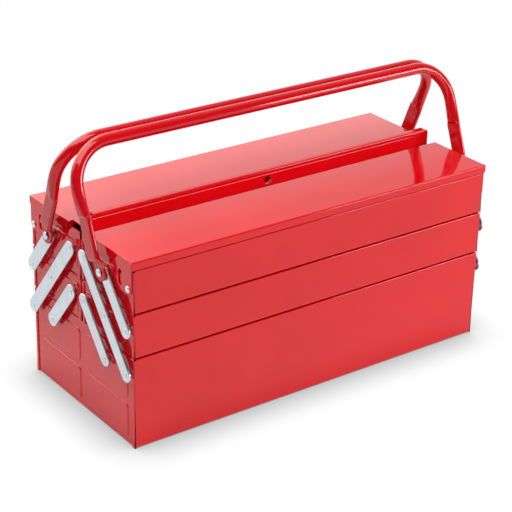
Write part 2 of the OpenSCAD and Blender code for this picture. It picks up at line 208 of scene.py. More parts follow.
def build(name, body, shape, material, sheet=0.0, edge=0.0, slot="red_enamel"):
    """Makes the object: rounds its folds, gives it its thickness, breaks its cut edges."""
    mesh = bpy.data.meshes.new(name)
    mesh.from_pydata([Vector(p) * MM for p in shape.points], [], shape.faces)
    mesh.update()
    obj = bpy.data.objects.new(name, mesh)
    bpy.context.scene.collection.objects.link(obj)
    if shape.folds:
        round_folds(obj, shape)
    if sheet:
        thicken(obj, sheet)
    if edge:
        break_edges(obj, edge)
    obj.modifiers.new("normals", "WEIGHTED_NORMAL").keep_sharp = True
    mesh.shade_smooth()
    bpy.context.view_layer.update()
    final = bpy.data.meshes.new_from_object(
        obj.evaluated_get(bpy.context.evaluated_depsgraph_get())
    )
    obj.modifiers.clear()
    obj.data = final
    final.name = name
    final.materials.clear()
    final.materials.append(material)
    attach(obj, body)
    return obj


def rounded(points, radius, inset, x):
    """Ring at x of a convex polygon of (y, z) points, turning anticlockwise, with fillets and
    moved inwards."""
    ring = []
    for i, point in enumerate(points):
        p = Vector(point)
        before = Vector(points[i - 1]) - p
        after = Vector(points[(i + 1) % len(points)]) - p
        n1 = Vector((before.y, -before.x)).normalized()
        n2 = Vector((-after.y, after.x)).normalized()
        c = p + (n1 + n2) * (radius / (1 + n1.dot(n2)))
        a1 = math.atan2(-n1.y, -n1.x)
        a2 = math.atan2(-n2.y, -n2.x)
        while a2 < a1:
            a2 += 2 * math.pi
        steps = max(2, round((a2 - a1) / (math.pi / 2) * ARC_STEPS))
        r = radius - inset
        for k in range(steps + 1):
            a = a1 + (a2 - a1) * k / steps
            ring.append((x, c.x + r * math.cos(a), c.y + r * math.sin(a)))
    return ring


def filleted(points, x):
    """Ring at x of any polygon of (y, z, fillet radius) points, concave corners too."""
    ring = []
    for i, (y, z, r) in enumerate(points):
        if not r:
            ring.append((x, y, z))
            continue
        p = Vector((y, z))
        a = (Vector(points[i - 1][:2]) - p).normalized()
        b = (Vector(points[(i + 1) % len(points)][:2]) - p).normalized()
        half = a.angle(b) / 2
        reach = r / math.tan(half)
        start = p + a * reach
        end = p + b * reach
        c = p + (a + b).normalized() * (r / math.sin(half))
        a1 = math.atan2(start.y - c.y, start.x - c.x)
        a2 = math.atan2(end.y - c.y, end.x - c.x)
        turn = (a2 - a1 + math.pi) % (2 * math.pi) - math.pi
        steps = max(3, round(abs(turn) / (math.pi / 2) * ARC_STEPS))
        for k in range(steps + 1):
            t = a1 + turn * k / steps
            ring.append((x, c.x + r * math.cos(t), c.y + r * math.sin(t)))
    return ring


def circle(x, y, z, r, n=32):
    """Ring about an X axis through (y, z)."""
    turns = [2 * math.pi * k / n for k in range(n)]
    return [(x, y + r * math.cos(a), z + r * math.sin(a)) for a in turns]


def rect(y1, z1, y2, z2):
    return [(y1, z1), (y2, z1), (y2, z2), (y1, z2)]


def blend(a, b, share):
    return a + (b - a) * share


# ---- materials ----


def node_material(name):
    """An empty node material: its tree, its shader and its coordinates."""
    mat = bpy.data.materials.new(name)
    mat.use_nodes = True
    tree = mat.node_tree
    tree.nodes.clear()
    out = tree.nodes.new("ShaderNodeOutputMaterial")
    bsdf = tree.nodes.new("ShaderNodeBsdfPrincipled")
    tree.links.new(bsdf.outputs[0], out.inputs[0])
    coord = tree.nodes.new("ShaderNodeTexCoord")
    return mat, tree, bsdf, coord


def noise(tree, coord, scale, detail, rough=0.5, stretch=None):
    node = tree.nodes.new("ShaderNodeTexNoise")
    node.inputs["Scale"].default_value = scale
    node.inputs["Detail"].default_value = detail
    node.inputs["Roughness"].default_value = rough
    source = coord.outputs["Object"]
    if stretch:
        mapping = tree.nodes.new("ShaderNodeMapping")
        mapping.inputs["Scale"].default_value = stretch
        tree.links.new(source, mapping.inputs["Vector"])
        source = mapping.outputs["Vector"]
    tree.links.new(source, node.inputs["Vector"])
    return node.outputs["Fac"]


def between(tree, value, low, high, start=0.3, end=0.7):
    """Runs from low to high while the value runs from start to end."""
    node = tree.nodes.new("ShaderNodeMapRange")
    node.inputs["From Min"].default_value = start
    node.inputs["From Max"].default_value = end
    node.inputs["To Min"].default_value = low
    node.inputs["To Max"].default_value = high
    tree.links.new(value, node.inputs["Value"])
    return node.outputs["Result"]


def mixed(tree, share, a, b):
    node = tree.nodes.new("ShaderNodeMix")
    node.data_type = "RGBA"
    node.inputs["A"].default_value = (*a, 1)
    node.inputs["B"].default_value = (*b, 1)
    tree.links.new(share, node.inputs["Factor"])
    return node.outputs["Result"]


def bump(tree, bsdf, height, strength, distance):
    node = tree.nodes.new("ShaderNodeBump")
    node.inputs["Strength"].default_value = strength
    node.inputs["Distance"].default_value = distance
    tree.links.new(height, node.inputs["Height"])
    tree.links.new(node.outputs["Normal"], bsdf.inputs["Normal"])


def red_enamel(name, deep, bright, rough=(0.05, 0.09), peel=0.12):
    """Glossy stoved enamel: slow tone changes, faint orange peel, slightly uneven gloss."""
    mat, tree, bsdf, coord = node_material(name)
    tone = between(tree, noise(tree, coord, scale=9.0, detail=3.0), 0, 1)
    tree.links.new(mixed(tree, tone, deep, bright), bsdf.inputs["Base Color"])
    gloss = noise(tree, coord, scale=38.0, detail=4.0, rough=0.6)
    tree.links.new(between(tree, gloss, *rough), bsdf.inputs["Roughness"])
    bsdf.inputs["IOR"].default_value = 1.5
    orange_peel = noise(tree, coord, scale=260.0, detail=2.0)
    bump(tree, bsdf, orange_peel, strength=peel, distance=0.00004)
    return mat


def zinc_plate(name, dull, light, rough=(0.26, 0.4)):
    """Bright zinc: a cool sheen with fine drawn lines and cloudy passivation."""
    mat, tree, bsdf, coord = node_material(name)
    cloud = between(tree, noise(tree, coord, scale=70.0, detail=4.0, rough=0.6), 0, 1)
    tree.links.new(mixed(tree, cloud, dull, light), bsdf.inputs["Base Color"])
    bsdf.inputs["Metallic"].default_value = 1.0
    lines = noise(tree, coord, scale=900.0, detail=2.0, stretch=(1.0, 0.25, 1.0))
    tree.links.new(between(tree, lines, *rough), bsdf.inputs["Roughness"])
    bump(tree, bsdf, lines, strength=0.15, distance=0.00003)
    return mat


RED = red_enamel("red_enamel_sheet", (0.80, 0.002, 0.006), (0.88, 0.004, 0.010))
# The tubes take the sheet's enamel with a darker base colour: painted shade for the dark
# surroundings that the tubes reflect.
RED_TUBE_SHADED = red_enamel(
    "red_enamel_tube_painted_shade", (0.63, 0.001, 0.006), (0.71, 0.003, 0.010), rough=(0.08, 0.12), peel=0.06
)
ZINC = zinc_plate("zinc_link", (0.58, 0.64, 0.68), (0.68, 0.73, 0.77))
RIVET = zinc_plate("zinc_rivet", (0.60, 0.64, 0.66), (0.74, 0.77, 0.78), rough=(0.2, 0.34))

# ---- folded shells ----


def along(s, reach, *profile):
    """Faces from -reach to reach along X, between each (y, z) of the profile and the next."""
    for (ya, za), (yb, zb) in zip(profile, profile[1:]):
        s.face((-reach, ya, za), (-reach, yb, zb), (reach, yb, zb), (reach, ya, za))


def outer_wall(s, foot, rim):
    """The long outer wall with its rim hem, relief cuts and returns round both ends."""
    y, cut = HALF_DEPTH, rim - RIM_CUT
    for a, b in ((-HALF_LENGTH, -PANEL_IN), (PANEL_IN, HALF_LENGTH)):
        s.face((a, y, foot), (a, y, cut), (b, y, cut), (b, y, foot))
    hem_y = y - HEM_WIDE
    along(s, PANEL_IN, (y, foot), (y, cut), (y, rim), (hem_y, rim), (hem_y, rim - HEM))
    for at_y in (y, hem_y):
        s.fold((-PANEL_IN, at_y, rim), (PANEL_IN, at_y, rim), TIGHT_FOLD)
    for end in (1, -1):
        x = end * HALF_LENGTH
        back = [(x, y, foot), (x, y, cut), (x, y - RETURN, cut), (x, y - RETURN, foot)]
        s.face(*back[::end])
        s.fold((x, y, foot), (x, y, cut), FOLD)


def inner_wall(s, foot, rim):
    """A tray's inner wall with its hem and returns; the outer wall mirrored about the tray."""
    wall = Shape()
    outer_wall(wall, foot, rim)
    for i, (x, y, z) in enumerate(wall.points):
        wall.points[i] = (x, INNER + (HALF_DEPTH - y), z)
    wall.faces = [ids[::-1] for ids in wall.faces]
    s.join(wall)


def bottom(s, y1, y2, z):
    along(s, PANEL_IN, (y1, z), (y2, z))
    for y in (y1, y2):
        s.fold((-PANEL_IN, y, z), (PANEL_IN, y, z), FOOT_FOLD)


def base_shell():
    s = Shape()
    outer_wall(s, FOOT, BASE_H)
    s.join(s.mirrored(1, -1))
    bottom(s, -HALF_DEPTH, HALF_DEPTH, FOOT)
    return s


def tray_shell(foot, rim, inner_rim):
    s = Shape()
    outer_wall(s, foot, rim)
    inner_wall(s, foot, inner_rim)
    bottom(s, INNER, HALF_DEPTH, foot)
    return s


# ---- stamped end panels ----

PANEL_HALF = HALF_DEPTH - SHEET  # half width of the base's panels, between its walls
HEM_GAP = 1.2  # gap between a panel's hem and the wall beside it
FOOT_TURN = 1.0  # width of a panel's turned-in foot
FOOT_STRIP = 2.0  # flat strip above that foot
PANEL_LIFT = 0.1  # of the base's panels over the base's foot
# inset and rise across the edge of a stamped field
FIELD_STEPS = (
    (0.0, 0.0), (0.15, 0.05), (0.35, 0.27), (0.7, 0.68), (1.1, 0.87), (1.6, 0.97), (2.1, 1.0),
)
FIELD_SIDE = 12.5  # from a field to the outer wall
BASE_FIELD_MIDDLE, BASE_FIELD_R = 5.2, 5.0  # from the base's fields to the middle plane
BASE_FIELD_ROWS = ((7.0, 44.5), (51.0, 89.0))  # heights of the base's fields
TRAY_FIELD_FOOT, TRAY_FIELD_RIM = 6.0, 9.5  # from a tray's field to its foot and to its rim
TRAY_FIELD_INNER, TRAY_FIELD_R = 1.0, 4.0  # from the inner return to the field
TRAY_FIELD_SLANT = 11.5  # its slanting corner, on each side
CREST_SLOPE = 0.8  # run over rise of the crest beside the middle plane


def across(s, y1, y2, *profile):
    """Faces from y1 to y2, between each (x, z) of the profile and the next."""
    for (xa, za), (xb, zb) in zip(profile, profile[1:]):
        s.face((xa, y1, za), (xa, y2, za), (xb, y2, zb), (xb, y1, zb))


def stamped_field(s, points, radius):
    """Raises a field from the panel; returns the ring that the panel leaves open for it."""
    rings = [rounded(points, radius, inset, PANEL_X + rise) for inset, rise in FIELD_STEPS]
    s.skin(rings)
    s.fill(rings[-1])
    return rings[0]


def panel(outline, fields, radius, hem, foot):
    """An end panel at +X: flat sheet, stamped fields, hemmed rim and turned-in foot; hem and
    foot are (y1, y2, z)."""
    s = Shape()
    open_rings = [stamped_field(s, points, radius) for points in fields]
    s.fill([(PANEL_X, y, z) for y, z in outline], open_rings)
    y1, y2, z = hem
    hem_x = PANEL_X - HEM_WIDE
    across(s, y1, y2, (PANEL_X, z - RIM_CUT), (PANEL_X, z), (hem_x, z), (hem_x, z - HEM))
    for x in (PANEL_X, hem_x):
        s.fold((x, y1, z), (x, y2, z), TIGHT_FOLD)
    y1, y2, z = foot
    across(s, y1, y2, (PANEL_X - FOOT_TURN, z), (PANEL_X, z), (PANEL_X, z + FOOT_STRIP))
    s.fold((PANEL_X, y1, z), (PANEL_X, y2, z), TIGHT_FOLD)
    return s


def base_end():
    foot, cut = FOOT + PANEL_LIFT, BASE_H - RIM_CUT
    w, hem = PANEL_HALF, PANEL_HALF - HEM_GAP
    low = foot + FOOT_STRIP
    outline = [(-w, low), (w, low), (w, cut), (hem, cut), (-hem, cut), (-w, cut)]
    near, far = BASE_FIELD_MIDDLE, HALF_DEPTH - FIELD_SIDE
    fields = [
        rect(y1, z1, y2, z2)
        for y1, y2 in ((near, far), (-far, -near))
        for z1, z2 in BASE_FIELD_ROWS
    ]
    return panel(outline, fields, BASE_FIELD_R, (-hem, hem, BASE_H), (-w, w, foot))


def tray_end(foot, rim, crest):
    """A tray's end; crest is the height of its rise beside the middle plane, or None."""
    inner, outer, cut = INNER + SHEET, PANEL_HALF, rim - RIM_CUT
    if crest:
        hem = BACK_EDGE
        slope = hem - (crest - rim) * CREST_SLOPE
        head = [(hem, cut), (hem, rim), (slope, crest), (inner, crest)]
    else:
        hem = inner + HEM_GAP
        head = [(hem, cut), (inner, cut)]
    low = foot + FOOT_STRIP
    outline = [(inner, low), (outer, low), (outer, cut), (outer - HEM_GAP, cut)] + head
    near, far = INNER + RETURN + TRAY_FIELD_INNER, HALF_DEPTH - FIELD_SIDE
    z1, z2 = foot + TRAY_FIELD_FOOT, rim - TRAY_FIELD_RIM
    field = [
        (near, z1), (far - TRAY_FIELD_SLANT, z1), (far, z1 + TRAY_FIELD_SLANT), (far, z2),
        (near, z2),
    ]
    hem_span = (hem, outer - HEM_GAP, rim)
    return panel(outline, [field], TRAY_FIELD_R, hem_span, (inner, outer, foot))


# ---- lids ----

LIP = 8.5  # height of the lids' lips
END_STRIP = 3.0  # width of the panel's strip beside its end folds
FLANGE_Y = HALF_DEPTH - SHEET - 0.7  # outer edge of the end flanges
FLANGE_H, FLANGE_SLANT = 9.0, 3.0  # height of the flanges, slant of their inner ends
FLANGE_STRIP, FLANGE_FOLD = 2.5, 1.0  # flat strip beside a flange's fold, radius of the fold
FRONT_FLANGE = 3.0  # from the front lid's inner edge to its flanges
EAR_START, EAR_FULL, EAR_DROP = 62.0, 72.0, 6.0  # slope to the hinge ear, depth below its pivot
FLANGE_R, EAR_START_R, EAR_FULL_R = 2.0, 6.0, 4.0  # fillets of the flange's outline
SLOT_Y, SLOT_Z, SLOT_R = (72.7, 79.3), (HINGE_Z - 1, HINGE_Z + 16), 3.2  # slot beside the hinge
LID_HOLE = 2.5  # radius of the hole for the lid's rivet
TAB_R, TAB_DROP, TAB_GAP = 3.2, 4.5, 0.5  # end tongues: radius, straight part, gap to the end
HASP_SHEET, HASP_SUNK = 0.9, 0.2  # thickness of the hasp plate, depth of its foot in the lid
HASP_HEM, HASP_HEM_Y, HASP_FOLD = 1.6, HASP_Y - 0.8, 0.85  # hem along the hasp plate's top
CHANNEL_FOLD, CHANNEL_END = 1.6, 4.0  # radii of the channel's top folds and of its ends


def flange(s, inner):
    """End flange at +X, from inner to the lip, with its hinge ear, slot and pivot hole."""
    head, high, low = LID_TOP - FLANGE_STRIP, LID_TOP - FLANGE_H, HINGE_Z - EAR_DROP
    start = inner + FLANGE_SLANT * FLANGE_STRIP / FLANGE_H
    ring = filleted(
        [
            (FLANGE_Y, head, 0), (start, head, 0), (inner + FLANGE_SLANT, high, FLANGE_R),
            (EAR_START, high, EAR_START_R), (EAR_FULL, low, EAR_FULL_R),
            (FLANGE_Y, low, FLANGE_Y - COLUMNS[2]),
        ],
        LID_X,
    )
    slot = rounded(rect(SLOT_Y[0], SLOT_Z[0], SLOT_Y[1], SLOT_Z[1]), SLOT_R, 0, LID_X)
    s.fill(ring, [slot, circle(LID_X, COLUMNS[2], HINGE_Z, LID_HOLE)])
    s.face(
        (LID_X, FLANGE_Y, LID_TOP), (LID_X, inner, LID_TOP), (LID_X, start, head),
        (LID_X, FLANGE_Y, head),
    )
    s.fold((LID_X, inner, LID_TOP), (LID_X, FLANGE_Y, LID_TOP), FLANGE_FOLD)


def lid(edge, inner, tab=None):
    """Lid panel with its outer lip and both end flanges. The panel starts at edge, its flanges
    at inner; tab is a part (x1, x2, y) of the panel that reaches further in."""
    s = Shape()
    top, foot, near, lip_y = LID_TOP, LID_TOP - LIP, LID_X - END_STRIP, HALF_DEPTH
    xs = [-LID_X, -near, *(tab[:2] if tab else ()), near, LID_X]
    ys = [edge, inner, FLANGE_Y, lip_y]
    for xa, xb in zip(xs, xs[1:]):
        for ya, yb in zip(ys, ys[1:]):
            s.face((xa, ya, top), (xb, ya, top), (xb, yb, top), (xa, yb, top))
        s.face((xa, lip_y, top), (xb, lip_y, top), (xb, lip_y, foot), (xa, lip_y, foot))
        s.fold((xa, lip_y, top), (xb, lip_y, top), FOLD)
    if tab:
        x1, x2, y = tab
        s.face((x1, y, top), (x2, y, top), (x2, edge, top), (x1, edge, top))
    end = Shape()
    flange(end, inner)
    for side in (1, -1):
        s.join(end.mirrored(side, 1))
    return s


def front_lid():
    return lid(HASP_Y, HASP_Y + FRONT_FLANGE)


def back_lid():
    tab = (channel_low.x, channel_high.x, channel_high.y - SHEET)
    return lid(BACK_EDGE, BACK_EDGE + SHEET, tab)


def end_tongue(s):
    """Small tongue bent down from the back lid's inner edge."""
    x, z = LID_X - TAB_GAP - TAB_R, LID_TOP - TAB_DROP
    ring = [(x - TAB_R, BACK_EDGE, LID_TOP)]
    for k in range(HALF_TURN + 1):
        a = math.pi * k / HALF_TURN
        ring.append((x - TAB_R * math.cos(a), BACK_EDGE, z - TAB_R * math.sin(a)))
    ring.append((x + TAB_R, BACK_EDGE, LID_TOP))
    s.face(*ring[::-1])


def padlock_ring(y):
    return [(PADLOCK_X + u, y, PADLOCK_Z + v) for _, u, v in circle(0, 0, 0, PADLOCK_R)]


def hasp_plate():
    """Plate on the front lid's inner edge: hemmed along its top, with the padlock hole."""
    s = Shape()
    y, hem_y, z1, z2 = HASP_Y + SHEET, HASP_HEM_Y, LID_TOP - HASP_SUNK, hasp_high.z
    x1, x2 = hasp_low.x, hasp_high.x
    s.fill([(x1, y, z1), (x1, y, z2), (x2, y, z2), (x2, y, z1)], [padlock_ring(y)])
    s.face((x1, y, z2), (x1, hem_y, z2), (x2, hem_y, z2), (x2, y, z2))
    low = z2 - HASP_HEM
    s.face((x1, hem_y, z2), (x1, hem_y, low), (x2, hem_y, low), (x2, hem_y, z2))
    for at_y in (y, hem_y):
        s.fold((x1, at_y, z2), (x2, at_y, z2), HASP_FOLD)
    return s


def channel_profile():
    """(y, z) points across the channel, up its front wall and down its back one."""
    (_, y1, _), (_, y2, top) = channel_low, channel_high
    r, shoulder, steps = CHANNEL_FOLD, top - CHANNEL_END, 4
    climb = [blend(shoulder, top - r, k / steps) for k in range(steps)]
    quarter = [math.pi * k / HALF_TURN for k in range(HALF_TURN // 2 + 1)]
    rise = [(y1, LID_TOP - SHEET)] + [(y1, z) for z in climb]
    rise += [(y1 + r - r * math.cos(a), top - r + r * math.sin(a)) for a in quarter]
    fall = [(y2 - r + r * math.sin(a), top - r + r * math.cos(a)) for a in quarter]
    fall += [(y2, z) for z in reversed(climb)] + [(y2, LID_TOP)]
    return rise + fall


def channel():
    """Inverted channel on the back lid's inner edge, its ends rounded at the top."""
    s = Shape()
    shoulder = channel_high.z - CHANNEL_END

    def short(z):
        """How far the ends are drawn in at a height, by their round top corners."""
        up = max(0.0, z - shoulder)
        return CHANNEL_END - math.sqrt(max(0.0, CHANNEL_END**2 - up**2))

    profile = channel_profile()
    for (ya, za), (yb, zb) in zip(profile, profile[1:]):
        a, b = short(za), short(zb)
        quad = [
            (channel_low.x + a, ya, za), (channel_high.x - a, ya, za),
            (channel_high.x - b, yb, zb), (channel_low.x + b, yb, zb),
        ]
        if min(za, zb) < PADLOCK_Z < max(za, zb):
            s.fill(quad, [padlock_ring(ya)])
        else:
            s.face(*quad)
    return s


# ---- links and rivets ----

LINK_BREAK = 0.25  # broken edge on a link's inner face
PRESS_INSET, PRESS_DEPTH, PRESS_STEPS = 1.7, 0.9, 5  # round pressed edge on its outer face
# depth under the outer face and radius of the stepped recess round a pivot hole, then the hole
RECESS = ((0.0, 3.9), (0.15, 3.75), (0.55, 3.7), (0.55, 3.0), (LINK_T, 3.0))
TURNED_SIDES = 28
BREAK = 0.3  # broken edges of rivets' tails and spacers
PLAY = 0.1  # along a rivet's axis, beside a link, a tongue or a lid's flange
TAIL_T = 1.0  # thickness of a rivet's tail inside the box
TAIL, LID_TAIL = (4.5, 0.5, 2.9), (4.0, 0.4, 2.4)  # a tail's radius and bevel, its hole's radius
SPACER_R, HANDLE_SPACER_R, LID_SPACER_R = 4.4, 5.5, 4.0
SHANK_R, SLIM_SHANK_R, LID_SHANK_R = 2.95, 2.8, 2.45  # slim where a pivot closes the linkage
LINK_HEAD, HANDLE_HEAD, LID_HEAD = (3.35, 0.95), (4.2, 2.0), (3.7, 1.7)  # radius and height
HEAD_SIDE, SHOULDER_POWER = 0.35, 0.75  # share of a head that is its side, how square it turns in
SHOULDER = (18, 36, 52, 66, 78)  # degrees round a head's shoulder
HEAD_SUNK = 0.42  # depth of a link rivet's head in the recess
TONGUE_X, TONGUE_T = LINK_X + LINK_T + 0.4, 3.0  # inner face and thickness of handle tongues
STEP_GAP = 0.2  # from a handle rivet's step to the tongue
FLANGE_X = LID_X - SHEET  # inner face of the lids' end flanges


def capsule(p, q, r, x):
    """Ring at x of a flat link's outline about two (y, z) pivots."""
    p, q = Vector(p), Vector(q)
    aim = math.atan2(q.y - p.y, q.x - p.x)
    ring = []
    for c, start in ((p, aim + math.pi / 2), (q, aim - math.pi / 2)):
        for k in range(HALF_TURN + 1):
            a = start + math.pi * k / HALF_TURN
            ring.append((x, c.x + r * math.cos(a), c.y + r * math.sin(a)))
    return ring


def link(p, q, mids=()):
    """Flat link with pressed-round edges and its pivot holes."""
    s = Shape()
    outer = LINK_X + LINK_T
    rings = [
        capsule(p, q, LINK_R - LINK_BREAK, LINK_X),
        capsule(p, q, LINK_R, LINK_X + LINK_BREAK),
    ]
    for k in range(PRESS_STEPS + 1):
        a = math.pi / 2 * k / PRESS_STEPS
        radius = LINK_R - PRESS_INSET * (1 - math.cos(a))
        rings.append(capsule(p, q, radius, outer - PRESS_DEPTH * (1 - math.sin(a))))
    s.skin(rings)
    holes = []
    for y, z in (p, q, *mids):
        rims = [circle(outer - depth, y, z, radius) for depth, radius in RECESS]
        s.skin(rims)
        holes.append(rims)
    s.fill(rings[-1], [rims[0] for rims in holes])
    s.fill(rings[0], [rims[-1] for rims in holes], flip=True)
    return s


def turned(s, y, z, profile):
    """A solid turned about an X axis through (y, z); profile is (x, r) from the inside out and
    ends on the axis."""
    rings = [circle(x, y, z, r, TURNED_SIDES) for x, r in profile[:-1]]
    s.fill(rings[0], flip=True)
    s.skin(rings)
    tip = (profile[-1][0], y, z)
    last = rings[-1]
    for i in range(TURNED_SIDES):
        s.face(last[i], last[(i + 1) % TURNED_SIDES], tip)


def tail(inside, radius, bevel, hole):
    """Profile of a rivet's tail against a panel's inner face, and its way out through it."""
    return [
        (inside - TAIL_T, radius - bevel), (inside - TAIL_T + BREAK, radius), (inside, radius),
        (inside, hole), (HALF_LENGTH, hole),
    ]


def spacer(radius, shank):
    """Profile of the washer between an end panel and a link, and the step to the shank."""
    x = LINK_X - PLAY
    return [(HALF_LENGTH, radius), (x - BREAK, radius), (x, radius - BREAK), (x, shank)]


def dome(x, r, h):
    """Profile of a low head: short side, soft shoulder, flat crown."""
    side = HEAD_SIDE * h
    shoulder = [
        (x + side + (h - side) * math.sin(a), r * math.cos(a) ** SHOULDER_POWER)
        for a in map(math.radians, SHOULDER)
    ]
    return [(x, r), (x + side, r), *shoulder, (x + h, 0)]


def link_rivet(s, y, z, on_field, shank=SHANK_R):
    """Rivet of a link; on a stamped field its tail sits a sheet further out."""
    head = LINK_X + LINK_T - HEAD_SUNK
    profile = tail(PANEL_X if on_field else PANEL_IN, *TAIL) + spacer(SPACER_R, shank)
    turned(s, y, z, profile + [(head, shank)] + dome(head, *LINK_HEAD))


def handle_rivet(s, y, z):
    step, head = TONGUE_X - STEP_GAP, TONGUE_X + TONGUE_T + PLAY
    profile = tail(PANEL_X, *TAIL) + spacer(HANDLE_SPACER_R, SLIM_SHANK_R)
    profile += [(step, SLIM_SHANK_R), (step, SHANK_R), (head, SHANK_R)]
    turned(s, y, z, profile + dome(head, *HANDLE_HEAD))


def lid_rivet(s, y, z):
    step, head = FLANGE_X - PLAY, LID_X + PLAY
    profile = tail(PANEL_IN, *LID_TAIL) + [(HALF_LENGTH, LID_SPACER_R), (step, LID_SPACER_R)]
    profile += [(step, LID_SHANK_R), (head, LID_SHANK_R)]
    turned(s, y, z, profile + dome(head, *LID_HEAD))


def both_ends(draw):
    """What draw adds to a shape, at the right end and mirrored at the left end."""
    one, s = Shape(), Shape()
    draw(one)
    s.add(one)
    s.add(one, -1, 1)
    return s


def base_rivets(s):
    for sy in (1, -1):
        one = Shape()
        link_rivet(one, COLUMNS[1], ROWS[0], True)
        link_rivet(one, COLUMNS[2], ROWS[0], False)
        s.add(one, 1, sy)


def middle_rivets(s):
    link_rivet(s, COLUMNS[0], ROWS[1], True, SLIM_SHANK_R)
    link_rivet(s, COLUMNS[1], ROWS[1], True)
    link_rivet(s, COLUMNS[2], ROWS[1], False)


def top_rivets(s):
    link_rivet(s, COLUMNS[0], ROWS[2], True)
    handle_rivet(s, COLUMNS[1], ROWS[2])
    lid_rivet(s, COLUMNS[2], HINGE_Z)


# ---- handles, drawn upright over their pivots and then leant ----

LEAN = math.atan2(COLUMNS[1] - GRIP_Y, GRIP_Z - ROWS[2])
LEG_LENGTH = math.hypot(COLUMNS[1] - GRIP_Y, GRIP_Z - ROWS[2])
BEND = 42.0  # radius of the bends, to the tube's middle line
LOWER_CRIMP, UPPER_CRIMP = (10.0, 14.5), (54.5, 58.5)  # heights over the pivot
CRIMP_SHARE = 0.5  # share of the tube's roundness gained in the upper crimp, the rest above it
FLAT_X, FLAT_T, FLAT_W = LEG_X - 1.4, 5.5, 18.5  # pinched stretch: middle, thickness, width
NECK_X, NECK_T, NECK_W = TONGUE_X + TONGUE_T / 2, TONGUE_T - 0.2, 17.4  # its end in the tongue
NECK_CORNER, NECK_IN = 1.2, 0.6  # corner radius of the neck, its reach below the lower crimp
RING, NECK_STEPS, BEND_STEPS, TONGUE_STEPS = 48, 6, 18, 20
LEG_STEPS = (6, 6, 8)  # along the pinched stretch, the upper crimp and the tube above it
TONGUE_R = 9.0
# inset and height over the inner face, across the tongue's edge
TONGUE_EDGE = (
    (0.7, 0), (0.2, 0.2), (0, 0.7), (0, TONGUE_T - 1.0), (0.3, TONGUE_T - 0.3), (1.0, TONGUE_T),
)
# height and radius of the shallow dimple round the rivet, then the hole
TONGUE_DIMPLE = ((TONGUE_T, 5.9), (TONGUE_T - 0.45, 5.1), (TONGUE_T - 0.45, 3.0), (0, 3.0))


def section(centre, out, thick, wide, corner):
    """Ring about the tube's line: out is the direction of its thickness, Y that of its width."""
    ring = []
    for k in range(RING):
        a = 2 * math.pi * (k + 0.5) / RING
        u = math.copysign(thick / 2 - corner, math.cos(a)) + corner * math.cos(a)
        v = math.copysign(wide / 2 - corner, math.sin(a)) + corner * math.sin(a)
        ring.append(centre + out * u + Vector((0, v, 0)))
    return ring


def smooth(t):
    return t * t * (3 - 2 * t)


def eased(z, low, high):
    """From 0 at low to 1 at high, levelling out at high."""
    return math.sin(math.pi / 2 * min(1, max(0, (z - low) / (high - low))))


def leg():
    """Rings of the right leg, from its neck in the tongue up to the bend."""
    out = Vector((1, 0, 0))
    neck = (NECK_X, NECK_T, NECK_W, NECK_CORNER)
    flat = (FLAT_X, FLAT_T, FLAT_W, FLAT_T / 2)
    rings = []
    for k in range(NECK_STEPS + 1):
        z = blend(LOWER_CRIMP[0] - NECK_IN, LOWER_CRIMP[1], k / NECK_STEPS)
        share = smooth(k / NECK_STEPS)
        x, thick, wide, corner = (blend(a, b, share) for a, b in zip(neck, flat))
        rings.append(section(Vector((x, 0, z)), out, thick, wide, corner))
    (low, high), bend_z = UPPER_CRIMP, LEG_LENGTH - BEND
    spans = ((LOWER_CRIMP[1], low), (low, high), (high, bend_z))
    for (start, end), steps in zip(spans, LEG_STEPS):
        for k in range(1, steps + 1):
            z = blend(start, end, k / steps)
            share = blend(eased(z, high, bend_z), eased(z, low, high), CRIMP_SHARE)
            thick = blend(FLAT_T, TUBE, share)
            centre = Vector((blend(FLAT_X, LEG_X, share), 0, z))
            rings.append(section(centre, out, thick, blend(FLAT_W, TUBE, share), thick / 2))
    return rings


def bend():
    """Rings round the right bend, up to where the grip starts."""
    rings = []
    for k in range(1, BEND_STEPS + 1):
        a = math.pi / 2 * k / BEND_STEPS
        out = Vector((math.cos(a), 0, math.sin(a)))
        centre = Vector((LEG_X - BEND, 0, LEG_LENGTH - BEND)) + out * BEND
        rings.append(section(centre, out, TUBE, TUBE, TUBE / 2))
    return rings


def tongue_ring(inset, x):
    """The tongue's outline: half a circle about the rivet, then straight up to the crimp."""
    r = TONGUE_R - inset
    turns = [math.pi + math.pi * k / TONGUE_STEPS for k in range(TONGUE_STEPS + 1)]
    top = LOWER_CRIMP[0] - inset
    return [(x, r * math.cos(a), r * math.sin(a)) for a in turns] + [(x, r, top), (x, -r, top)]


def tongue():
    s = Shape()
    edge = [tongue_ring(inset, TONGUE_X + height) for inset, height in TONGUE_EDGE]
    dimple = [circle(TONGUE_X + height, 0, 0, radius) for height, radius in TONGUE_DIMPLE]
    s.skin(edge)
    s.skin(dimple)
    s.fill(edge[-1], [dimple[0]])
    s.fill(edge[0], [dimple[-1]], flip=True)
    return s


def handle():
    """Tube bent at both ends, pinched flat towards its riveted tongues."""
    s = Shape()
    right = leg() + bend()
    left = [[Vector((-p.x, p.y, p.z)) for p in ring] for ring in reversed(right)]
    s.skin(right + left)
    s.fill(right[0], flip=True)
    s.fill(left[-1])
    for side in (1, -1):
        s.add(tongue(), side, 1)
    cos, sin = math.cos(LEAN), math.sin(LEAN)
    s.points = [
        (x, COLUMNS[1] + y * cos - z * sin, ROWS[2] + y * sin + z * cos) for x, y, z in s.points
    ]
    return s


# ---- the box ----

FOLDED = dict(sheet=SHEET, edge=0.18)
RIDGE_EDGE = 0.15
PLATED = dict(slot="zinc_plate")
SIDES = (("left", -1), ("right", 1))
